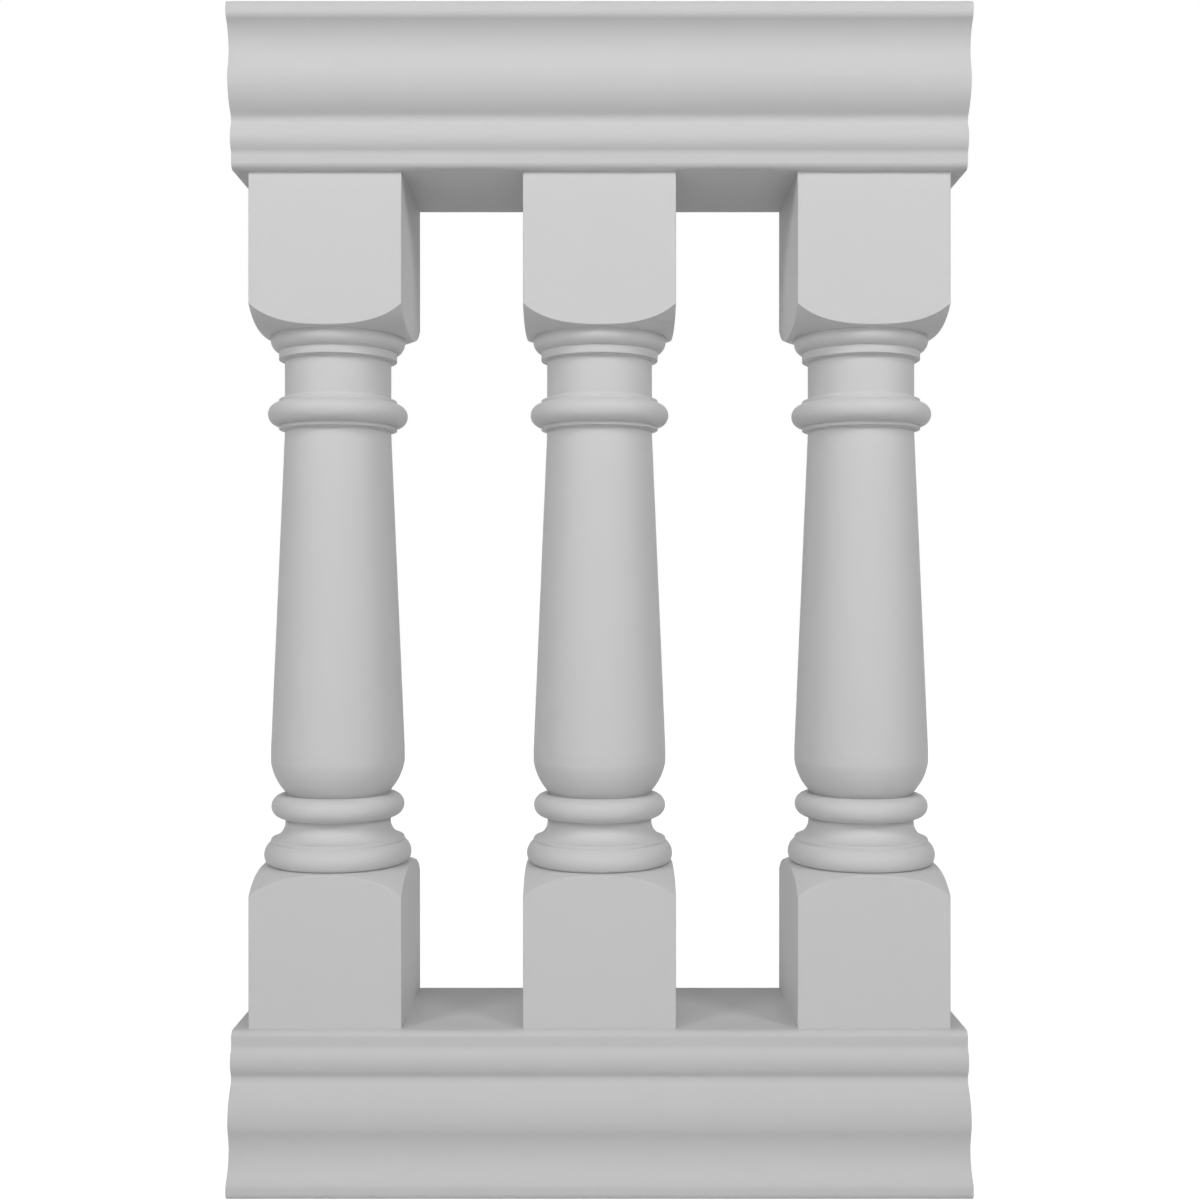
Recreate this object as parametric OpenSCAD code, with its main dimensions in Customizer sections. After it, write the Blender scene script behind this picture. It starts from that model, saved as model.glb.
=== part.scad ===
// Section of a fiberglass balustrade: three hollow turned balusters clamped between two moulded rails.
// Both rails are the same moulding. The bottom one is turned upside down, so its wide lip is on the floor.
// A threaded rod runs through each baluster. Its plates and nuts bear on the panels that close the rails.
// X runs along the rails, Y through them and Z up. The origin is at the middle of the base.

/* [Section] */
// Distance between the centre lines of two balusters
baluster_pitch = 227.7; // [180:1:300]
// Rail past the centre line of each outer baluster
rail_overrun = 76.1; // [70:1:200]
// Height of a baluster, from rail to rail
baluster_h = 710.6; // [600:1:900]

/* [Rail moulding, from its narrow face to its wide face] */
// Rail past the face of the plinth blocks, at its narrow face
seat_margin = 6.7; // [3:0.1:12]
// Rounding along the edges of the narrow face
seat_round = 6; // [2:0.1:6]
// Height of the plain fillet, with its rounding
rail_fillet_h = 11.5; // [8:0.1:25]
// Height of the bead
rail_bead_h = 27.7; // [22:0.1:40]
// How far the bead stands out from the fillet
rail_bead_out = 4.1; // [2:0.1:6]
// Height from the groove above the bead to the fullest line of the bulge
bulge_rise = 32.7; // [24:0.1:45]
// How far the bulge stands out from the fillet
bulge_out = 12.5; // [9:0.1:16]
// Height from the bulge to the deepest line of the cove
cove_rise = 23.7; // [16:0.1:35]
// How far the cove is cut back from the bulge
cove_depth = 4.4; // [2:0.1:6]
// Height from the cove to the face of the lip
lip_rise = 27.3; // [22:0.1:40]
// How far the lip stands out from the fillet
lip_out = 18.6; // [16:0.1:26]
// Height of the lip's upright face
lip_face_h = 3.9; // [2:0.1:15]
// Rounding along the edges of the wide face
lip_round = 5.8; // [1:0.1:6]
// Thickness of the rail's laminate
rail_wall = 6; // [4:0.1:7.2]
// Thickness of the panel that closes the narrow side
closure_t = 6; // [4:0.1:10]
// Adhesive line along each edge of the closing panel
bond_gap = 0.2; // [0.1:0.05:0.5]

/* [Baluster] */
// Width of the square plinth blocks
plinth_w = 127; // [120:0.5:156]
// Height of a plinth block at the middle of its face
plinth_h = 126.7; // [105:1:160]
// Radius of the turned shoulder between square and round
shoulder_r = 48; // [44:0.5:70]
// Slope of that shoulder at the middle of the face, in degrees
shoulder_slope = 14.9; // [8:0.1:20]
// Thickness of the baluster's laminate
baluster_wall = 5; // [3:0.1:6]
// Thickness of the webs that close its ends
web_t = 8; // [5:0.1:15]

/* [Turning above the shaft, from the top block down] */
// Section radius of the ovolo under the block
ovolo_r = 10.7; // [9:0.1:12.5]
// Centre of the ovolo's curve below the face of the block
ovolo_drop = 4.3; // [3:0.1:6]
// How far the ovolo stands out from the neck
ovolo_out = 11.9; // [9:0.1:13]
// Height from the face of the block to the underside of the fillet
neck_fillet_h = 20.9; // [18:0.1:30]
// How far every small fillet stands out from the neck
fillet_out = 5; // [3.5:0.1:7]
// Radius of the little cove that joins a small fillet to the neck or the shaft
fillet_cove = 2.5; // [1:0.1:3]
// Radius of the neck, and of the shaft where it starts
neck_r = 45.7; // [38:0.1:50]
// Height of the plain neck
neck_h = 34.3; // [20:0.1:60]
// Height of the ring, with its two fillets
ring_h = 26; // [22:0.1:36]
// Section radius of the ring's torus
ring_torus_r = 9.9; // [8:0.1:11]
// How far the ring's torus stands out from the neck
ring_out = 14.3; // [11:0.1:16]

/* [Turning below the shaft, from the bottom block up] */
// Section radius of the base torus
base_torus_r = 13.1; // [10:0.1:15]
// Radius of the base torus at its fullest
base_r = 63.2; // [58:0.1:63.3]
// Height of its centre above the face of the block
base_torus_rise = 8.9; // [6:0.1:11]
// Radius of the shaft's foot, and of the fillet on the base torus
foot_r = 57.4; // [52:0.1:58]
// Height of that fillet's top above the face of the block
foot_fillet_rise = 22.9; // [20:0.1:30]
// Height of the scotia over the fillet
scotia_h = 13.6; // [11:0.1:13.8]
// Radius of the scotia's curve
scotia_r = 14; // [13.8:0.1:18]
// Radius of the waist
waist_r = 45.3; // [38:0.1:46]
// Height of the plain waist
waist_h = 4.2; // [0.5:0.1:8]
// Section radius of the upper torus
foot_torus_r = 10; // [8:0.1:12]
// How far the upper torus stands out from the waist
foot_torus_out = 11.8; // [9:0.1:13]
// Height of the apron under the shaft's foot, down to the upper torus
apron_h = 28; // [22:0.1:38]
// How far the apron draws in from the foot
apron_in = 14.4; // [10:0.1:16]
// Slope of the apron where it leaves the foot, in degrees from upright
apron_slope = 8; // [2:0.5:12]
// Height of the plain band at the shaft's foot
band_h = 10.6; // [5:0.1:30]

/* [Tie rods] */
// Diameter of a tie rod
rod_d = 9.5; // [6:0.5:16]
// Clearance round a rod in its holes, on the diameter
rod_clearance = 1.5; // [0.5:0.1:1.8]
// Side of a bearing plate
plate_w = 76; // [50:1:100]
// Thickness of a bearing plate
plate_t = 6; // [4:0.5:12]
// Width of a nut across its flats
nut_af = 14.3; // [12:0.1:26]
// Height of a nut
nut_h = 8.4; // [5:0.1:16]
// Clearance between the thread of a rod and its nut, on the diameter
thread_clearance = 0.3; // [0.2:0.1:0.6]
// Rod past the nut
rod_end = 7; // [3:0.5:20]

/* [Hidden] */

// Share of each curve's height that its bulging arc takes, the hollow arc taking the rest
FILLET_SHARE = 0.65;
BEAD_SHARE = 0.75;
BULGE_SHARE = 0.81;
COVE_SHARE = 0.4;
LIP_SHARE = 0.18;
// Degrees of arc between two points of an outline
ARC_STEP = 6;
// The most that the edge of the foot's fillet is rounded
MOST_ROUND = 1.5;
// What a cutter runs past the face that it cuts
OVER = 1;
// Every moulding of the laminate is this colour, every fastener the other
GELCOAT = [0.82, 0.82, 0.81];
ZINC = [0.62, 0.63, 0.65];

// Section
LEFT = -baluster_pitch;
RIGHT = baluster_pitch;
rail_l = 2 * (baluster_pitch + rail_overrun);

// Levels of the rail moulding above its narrow face
bead_z = rail_fillet_h + rail_bead_h / 2;
groove_z = rail_fillet_h + rail_bead_h;
bulge_z = groove_z + bulge_rise;
cove_z = bulge_z + cove_rise;
lip_z = cove_z + lip_rise;
rail_h = lip_z + lip_face_h + lip_round;
seat_x = plinth_w / 2 + seat_margin;
total_h = 2 * rail_h + baluster_h;

// Shoulder of a plinth block: the centre of its arc, which crosses the face at the height of the block
shoulder_x = plinth_w / 2 - shoulder_r * sin(shoulder_slope);
shoulder_z = plinth_h - shoulder_r * cos(shoulder_slope);

// Levels of the turning above a baluster's foot
base_torus_z = plinth_h + base_torus_rise;
foot_fillet_z = plinth_h + foot_fillet_rise;
waist_z = foot_fillet_z + scotia_h;
foot_torus_z = waist_z + waist_h + foot_torus_r;
apron_z = foot_torus_z + foot_torus_r;
foot_z = apron_z + apron_h;
shaft_z = foot_z + band_h;
block_z = baluster_h - plinth_h;
ovolo_z = block_z - ovolo_drop;
neck_fillet_z = block_z - neck_fillet_h;
ring_top_z = neck_fillet_z - neck_h;
ring_z = ring_top_z - ring_h / 2;
shaft_top_z = ring_top_z - ring_h;

// Scotia: the reach of its arc, and the radius at which it starts on the fillet
scotia_reach = asin(scotia_h / scotia_r);
scotia_foot_r = waist_r + scotia_r * (1 - cos(scotia_reach));
foot_fillet_round = min(MOST_ROUND, foot_r - scotia_foot_r);

// Apron: the angle at which its arc ends, and the radius and centre of the arc
apron_end = 2 * atan(apron_in / apron_h) - apron_slope;
apron_r = apron_h / (sin(apron_end) - sin(apron_slope));
apron_cx = foot_r - apron_r * cos(apron_slope);
apron_cz = foot_z + apron_r * sin(apron_slope);

rod_hole_d = rod_d + rod_clearance;
rod_past_closure = plate_t + nut_h + rod_end;
rod_l = baluster_h + 2 * (closure_t + rod_past_closure);

// Points along an arc about (x, y) from angle a to angle b
function arc(x, y, r, a, b) =
    let (n = max(2, ceil(abs(b - a) / ARC_STEP)))
    [for (i = [0 : n]) let (t = a + (b - a) * i / n) [x + r * cos(t), y + r * sin(t)]];

// Points of an ogee, two arcs that meet in a tangent, from (x0, y0) to (x1, y1), where it is upright.
// first is the lower arc's share of the height. inset moves the curve into the body, square to itself.
function ogee(x0, y0, x1, y1, first, inset) =
    let (side = sign(x1 - x0),
        turn = 2 * atan(abs(x1 - x0) / (y1 - y0)),
        sum = (y1 - y0) / sin(turn),
        r0 = sum * first,
        r1 = sum - r0,
        start = side > 0 ? 180 : 0)
    concat(
        arc(x0 + side * r0, y0, r0 + side * inset, start, start - side * turn),
        arc(x1 - side * r1, y1, r1 - side * inset, start - 180 - side * turn, start - 180));

// Right half of the rail's outline from the fillet to the lip, moved in by inset
function moulding(inset) = concat(
    ogee(seat_x, rail_fillet_h, seat_x + rail_bead_out, bead_z, 1 - FILLET_SHARE, inset),
    ogee(seat_x + rail_bead_out, bead_z, seat_x, groove_z, BEAD_SHARE, inset),
    ogee(seat_x, groove_z, seat_x + bulge_out, bulge_z, 1 - BULGE_SHARE, inset),
    ogee(seat_x + bulge_out, bulge_z, seat_x + bulge_out - cove_depth, cove_z, COVE_SHARE, inset),
    ogee(seat_x + bulge_out - cove_depth, cove_z, seat_x + lip_out, lip_z, 1 - LIP_SHARE, inset));

// Closes a right half outline with its own mirror image
module both_halves(half) {
    last = len(half) - 1;
    polygon(concat(half, [for (i = [0 : last]) [-half[last - i][0], half[last - i][1]]]));
}

module rail_outline() both_halves(concat(
    arc(seat_x - seat_round, seat_round, seat_round, -90, 0),
    moulding(0),
    arc(seat_x + lip_out - lip_round, rail_h - lip_round, lip_round, 0, 90)));

module rail_hollow() both_halves(concat(
    [[seat_x - rail_wall, -OVER]],
    moulding(rail_wall),
    [[seat_x + lip_out - rail_wall, rail_h - rail_wall]]));

// Extrudes a section drawn in Y and Z along the rail
module along_rail() rotate([90, 0, 90]) linear_extrude(rail_l, center = true) children();

// Puts its children at the underside of the top rail, or turned over at the top of the bottom one
module at_rail(top) {
    if (top) translate([0, 0, rail_h + baluster_h]) children();
    else translate([0, 0, rail_h]) mirror([0, 0, 1]) children();
}

module rail_shell() color(GELCOAT) along_rail() difference() {
    rail_outline();
    rail_hollow();
}

module rail_closure() color(GELCOAT) difference() {
    translate([-rail_l / 2, -(seat_x - rail_wall - bond_gap), 0])
        cube([rail_l, 2 * (seat_x - rail_wall - bond_gap), closure_t]);
    for (x = [LEFT, 0, RIGHT]) translate([x, 0, -OVER])
        cylinder(d = rod_hole_d, h = closure_t + 2 * OVER);
}

// Plinth block as a turning: a cylinder wider than the square, its shoulder, and the collar that runs on
// from it, which is the upright part of the ovolo at the top block and lies inside the base torus at the bottom one
module block_section(inset) {
    r = shoulder_r - inset;
    edge = (plinth_w / 2 - inset) * sqrt(2) + OVER / 2;
    collar = neck_r + ovolo_out - inset;
    polygon(concat(
        [[0, 0], [edge, 0]],
        arc(shoulder_x, shoulder_z, r, acos((edge - shoulder_x) / r), acos((collar - shoulder_x) / r)),
        [[collar, plinth_h + ovolo_drop], [0, plinth_h + ovolo_drop]]));
}

// A torus at a level. Its hollow reaches in to the axis, so that it opens into the rest of the hollow.
module torus_section(z, outer, r, inset) {
    if (inset == 0) translate([outer - r, z]) circle(r);
    else polygon(concat(
        [[0, z - r + inset]],
        arc(outer - r, z, r - inset, -90, 90),
        [[0, z + r - inset]]));
}

// Underside of a small fillet at a level: its cove from the neck outward, then its edge
function fillet_underside(z) = concat(
    arc(neck_r + fillet_cove, z - fillet_cove, fillet_cove, 180, 90),
    [[neck_r + fillet_out, z]]);

// Top of a small fillet at a level: its edge, then its cove in to the neck
function fillet_top(z) = concat(
    [[neck_r + fillet_out, z]],
    arc(neck_r + fillet_cove, z + fillet_cove, fillet_cove, 270, 180));

// Apron, foot, tapering shaft and neck, from inside the upper torus to inside the top block.
// The hollow runs straight past the small fillets, which are filled with resin.
module shaft_section(inset) polygon(concat(
    [[0, foot_torus_z], [foot_r - apron_in - inset, foot_torus_z]],
    arc(apron_cx, apron_cz, apron_r - inset, -apron_end, -apron_slope),
    [[foot_r - inset, shaft_z]],
    inset > 0 ? [[neck_r - inset, shaft_top_z], [neck_r - inset, block_z]]
        : concat(
            fillet_underside(shaft_top_z),
            fillet_top(ring_top_z),
            fillet_underside(neck_fillet_z),
            [[neck_r + fillet_out, block_z]]),
    [[0, block_z]]));

// Fillet, scotia and waist, from inside the bottom block to inside the upper torus
module waist_section(inset) polygon(concat(
    [[0, plinth_h]],
    inset > 0 ? [[scotia_foot_r - inset, plinth_h]]
        : concat(
            [[foot_r, plinth_h]],
            arc(foot_r - foot_fillet_round, foot_fillet_z - foot_fillet_round, foot_fillet_round, 0, 90)),
    arc(waist_r + scotia_r, waist_z, scotia_r + inset,
        180 + acos((scotia_r * cos(scotia_reach) + inset) / (scotia_r + inset)), 180),
    [[waist_r - inset, foot_torus_z], [0, foot_torus_z]]));

// Half section of the turning between the blocks, moved in by inset for its hollow
module turning(inset) {
    waist_section(inset);
    shaft_section(inset);
    torus_section(base_torus_z, base_r, base_torus_r, inset);
    torus_section(foot_torus_z, waist_r + foot_torus_out, foot_torus_r, inset);
    torus_section(ring_z, neck_r + ring_out, ring_torus_r, inset);
    torus_section(ovolo_z, neck_r + ovolo_out, ovolo_r, inset);
}

// Both blocks and the turning between them, cut square to the width of the plinth
module squared(inset, end) intersection() {
    union() {
        rotate_extrude() block_section(inset);
        rotate_extrude() turning(inset);
        translate([0, 0, baluster_h]) rotate([180, 0, 0]) rotate_extrude() block_section(inset);
    }
    translate([-plinth_w / 2 + inset, -plinth_w / 2 + inset, end])
        cube([plinth_w - 2 * inset, plinth_w - 2 * inset, baluster_h - 2 * end]);
}

module baluster(x) color(GELCOAT) translate([x, 0, rail_h]) difference() {
    squared(0, 0);
    squared(baluster_wall, web_t);
    translate([0, 0, -OVER]) cylinder(d = rod_hole_d, h = baluster_h + 2 * OVER);
}

module tie_rod(x) color(ZINC) translate([x, 0, total_h / 2]) cylinder(d = rod_d, h = rod_l, center = true);

module bearing_plate(x) color(ZINC) translate([x, 0, closure_t]) difference() {
    translate([-plate_w / 2, -plate_w / 2, 0]) cube([plate_w, plate_w, plate_t]);
    translate([0, 0, -OVER]) cylinder(d = rod_hole_d, h = plate_t + 2 * OVER);
}

module nut(x) color(ZINC) translate([x, 0, closure_t + plate_t]) difference() {
    cylinder(d = nut_af / cos(30), h = nut_h, $fn = 6);
    translate([0, 0, -OVER]) cylinder(d = rod_d + thread_clearance, h = nut_h + 2 * OVER);
}

at_rail(true) rail_shell();  // top_rail
at_rail(true) rail_closure();  // top_rail_closure
at_rail(false) rail_shell();  // bottom_rail
at_rail(false) rail_closure();  // bottom_rail_closure
baluster(LEFT);  // baluster_left
baluster(0);  // baluster_middle
baluster(RIGHT);  // baluster_right
tie_rod(LEFT);  // tie_rod_left
tie_rod(0);  // tie_rod_middle
tie_rod(RIGHT);  // tie_rod_right
at_rail(true) bearing_plate(LEFT);  // top_plate_left
at_rail(true) bearing_plate(0);  // top_plate_middle
at_rail(true) bearing_plate(RIGHT);  // top_plate_right
at_rail(false) bearing_plate(LEFT);  // bottom_plate_left
at_rail(false) bearing_plate(0);  // bottom_plate_middle
at_rail(false) bearing_plate(RIGHT);  // bottom_plate_right
at_rail(true) nut(LEFT);  // top_nut_left
at_rail(true) nut(0);  // top_nut_middle
at_rail(true) nut(RIGHT);  // top_nut_right
at_rail(false) nut(LEFT);  // bottom_nut_left
at_rail(false) nut(0);  // bottom_nut_middle
at_rail(false) nut(RIGHT);  // bottom_nut_right
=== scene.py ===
"""Looks of a fiberglass balustrade section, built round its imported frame.

The moulded rails, the turned balusters and the threaded hardware are surfaces worked out with numpy.
Lengths are in millimetres until a mesh is made, and in metres from there on. A level is a height.
"""

import logging
import math
from dataclasses import dataclass, field
from enum import Enum

import bpy
import numpy as np
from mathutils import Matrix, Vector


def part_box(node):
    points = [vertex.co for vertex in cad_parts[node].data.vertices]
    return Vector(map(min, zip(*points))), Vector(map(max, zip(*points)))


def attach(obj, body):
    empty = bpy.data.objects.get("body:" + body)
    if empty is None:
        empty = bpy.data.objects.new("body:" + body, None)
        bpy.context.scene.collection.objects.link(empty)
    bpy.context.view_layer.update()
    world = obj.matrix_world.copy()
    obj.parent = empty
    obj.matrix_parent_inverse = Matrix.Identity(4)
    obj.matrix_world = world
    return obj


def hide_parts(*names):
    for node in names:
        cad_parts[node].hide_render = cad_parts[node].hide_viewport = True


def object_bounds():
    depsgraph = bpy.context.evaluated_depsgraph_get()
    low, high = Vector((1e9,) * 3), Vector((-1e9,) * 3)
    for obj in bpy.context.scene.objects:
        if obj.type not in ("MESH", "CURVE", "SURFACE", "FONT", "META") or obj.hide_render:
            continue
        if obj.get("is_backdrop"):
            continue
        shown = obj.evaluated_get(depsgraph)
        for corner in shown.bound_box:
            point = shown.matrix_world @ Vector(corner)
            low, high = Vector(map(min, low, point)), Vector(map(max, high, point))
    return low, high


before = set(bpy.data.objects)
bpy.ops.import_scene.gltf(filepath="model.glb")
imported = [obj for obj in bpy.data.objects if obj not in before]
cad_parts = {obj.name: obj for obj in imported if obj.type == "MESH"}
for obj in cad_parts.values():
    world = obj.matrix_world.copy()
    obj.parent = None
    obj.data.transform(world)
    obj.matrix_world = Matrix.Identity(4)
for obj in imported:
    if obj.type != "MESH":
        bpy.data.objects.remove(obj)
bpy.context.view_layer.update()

LOG = logging.getLogger("balustrade")
BODY = "root"
M_TO_MM = 1000.0
MM_TO_M = 0.001
# Edges that turn more than this stay crisp, in degrees: most pieces, a rolled thread, a chamfered nut
CREASE_ANGLE = 28.0
THREAD_CREASE = 60.0
NUT_CREASE = 12.0
# Attribute of a mesh with the depth of each point below the outer skin
DEPTH_ATTRIBUTE = "laminate_depth"
# Socket numbers of the Mix node when it mixes colours
MIX_FACTOR, MIX_A, MIX_B = 0, 6, 7

# A point of an outline: how far out it lies, and its level
Point = tuple[float, float]


class Slot(Enum):
    """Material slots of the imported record."""

    GELCOAT = "gelcoat"
    ZINC = "zinc"


class End(Enum):
    """The end of a baluster that a rail closes."""

    TOP = "top"
    BOTTOM = "bottom"


class Place(Enum):
    """The three balusters along the rails."""

    LEFT = "left"
    MIDDLE = "middle"
    RIGHT = "right"


# ---------------------------------------------------------------- surfaces


def box_mm(node: str) -> tuple[np.ndarray, np.ndarray]:
    """Lowest and highest corner of a CAD node, in millimetres.

    Args:
        node: name of the CAD node.

    Returns:
        The two corners, three numbers each.
    """
    low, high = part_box(node)
    return np.array(low) * M_TO_MM, np.array(high) * M_TO_MM


def arc(centre: Point, radius: float, start: float, end: float, count: int = 0) -> np.ndarray:
    """Points of a circular arc.

    Each point is the centre plus the radius along (cos t, sin t), with t going evenly from start to end.

    Args:
        centre: centre of the circle.
        radius: its radius.
        start: angle of the first point, in degrees.
        end: angle of the last point, in degrees.
        count: steps between the points, or 0 for a step of about 1 mm.

    Returns:
        Array of (steps + 1, 2).
    """
    steps = count or max(3, math.ceil(radius * abs(math.radians(end - start))))
    t = np.radians(np.linspace(start, end, steps + 1))
    return np.column_stack((centre[0] + radius * np.cos(t), centre[1] + radius * np.sin(t)))


def line(start: Point, end: Point, count: int = 1, hem: float = 0.0) -> np.ndarray:
    """Points along a straight line, with one more close to each end so that shading stays flat between.

    Args:
        start: first point.
        end: last point.
        count: even steps between the two.
        hem: distance of the close points from the ends, or 0 for none.

    Returns:
        Array of points, the ends included.
    """
    first, last = np.array(start, float), np.array(end, float)
    length = np.linalg.norm(last - first)
    share = np.linspace(0, 1, count + 1)
    if 0 < hem < length / 3:
        share = np.unique(np.concatenate((share, [hem / length, 1 - hem / length])))
    return first + share[:, None] * (last - first)


def ogee(start: Point, end: Point, lower_share: float, inset: float, count: int) -> np.ndarray:
    """Points of an ogee: two arcs that meet in a tangent and are upright where they begin and end.

    Both arcs turn by twice the angle whose tangent is the width over the height, so the sum of their
    radii is the height over the sine of that turn. The inset makes one radius larger and the other smaller.

    Args:
        start: lower end of the curve.
        end: upper end of the curve.
        lower_share: share of the height that the lower arc takes.
        inset: distance that the curve is moved into the body, square to itself.
        count: steps along each arc.

    Returns:
        Array of (2 * count + 2, 2).
    """
    (x0, z0), (x1, z1) = start, end
    side = 1.0 if x1 > x0 else -1.0
    turn = 2 * math.degrees(math.atan(abs(x1 - x0) / (z1 - z0)))
    total = (z1 - z0) / math.sin(math.radians(turn))
    lower, upper = total * lower_share, total * (1 - lower_share)
    first = 180.0 if side > 0 else 0.0
    return np.concatenate([
        arc((x0 + side * lower, z0), lower + side * inset, first, first - side * turn, count),
        arc((x1 - side * upper, z1), upper - side * inset, first - 180 - side * turn, first - 180, count),
    ])


def crossing(centre: Point, radius: float, other: Point, other_radius: float) -> np.ndarray:
    """The point at which two circles cross, of the two the one that lies further from the axis.

    It lies on the line through both centres at the distance that Pythagoras gives for the two radii, and
    out from that line by the rest of the radius.

    Args:
        centre: centre of the first circle.
        radius: its radius.
        other: centre of the second circle.
        other_radius: its radius.

    Returns:
        The point.
    """
    a, b = np.array(centre), np.array(other)
    gap = np.linalg.norm(b - a)
    along = (gap**2 + radius**2 - other_radius**2) / (2 * gap)
    out = math.sqrt(radius**2 - along**2)
    unit = (b - a) / gap
    normal = np.array([unit[1], -unit[0]])
    return max((a + along * unit + way * out * normal for way in (1, -1)), key=lambda point: point[0])


def without_repeats(points: np.ndarray, nearest: float = 1e-4) -> np.ndarray:
    """Drops each point that lies on the one before it.

    Args:
        points: points along an outline.
        nearest: distance under which two points are one.

    Returns:
        The points that are left.
    """
    steps = np.linalg.norm(np.diff(points, axis=0), axis=1)
    return points[np.concatenate(([True], steps > nearest))]


def square_reach(angle: np.ndarray, half: float, corner: float) -> np.ndarray:
    """Distance from the centre of a square with rounded corners to its edge.

    Across a face it is the half width over the larger of the cosine and the sine. Round a corner it is
    the distance to the far side of the corner's circle.

    Args:
        angle: directions, in radians.
        half: half the width of the square.
        corner: radius of its corners.

    Returns:
        Distances, one for each angle.
    """
    c, s = np.abs(np.cos(angle)), np.abs(np.sin(angle))
    face = half / np.maximum(c, s)
    middle = half - corner
    across = middle * (c - s)
    rounded = middle * (c + s) + np.sqrt(np.maximum(corner**2 - across**2, 0))
    return np.where(np.minimum(c, s) * face > middle, rounded, face)


def square_angles(half: float, corner: float, steps: int, corner_steps: int, hem: float) -> np.ndarray:
    """Directions round a square with rounded corners, close together where the corners turn.

    Args:
        half: half the width of the square.
        corner: radius of its corners.
        steps: even steps across each face.
        corner_steps: steps round each corner.
        hem: distance of the last direction on a face from where the corner begins.

    Returns:
        Angles from -45 to 315 degrees, in radians, with none repeated.
    """
    middle = half - corner
    edge = math.atan2(middle - hem, half)
    face = np.linspace(-edge, edge, steps + 1)
    turn = np.radians(np.linspace(0, 90, corner_steps + 1))
    bend = np.arctan2(middle + corner * np.sin(turn), middle + corner * np.cos(turn))
    quarter = np.concatenate((face, bend))
    return np.concatenate([quarter + math.pi / 2 * k for k in range(4)])


def hexagon_reach(angle: np.ndarray, flats: float) -> np.ndarray:
    """Distance from the centre of a hexagon to its edge.

    It is half the width over the cosine of the angle from the nearest face. A corner points along X.

    Args:
        angle: directions, in radians.
        flats: width across the flats.

    Returns:
        Distances, one for each angle.
    """
    sixth = math.pi / 3
    return flats / 2 / np.cos(np.mod(angle, sixth) - sixth / 2)


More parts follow.
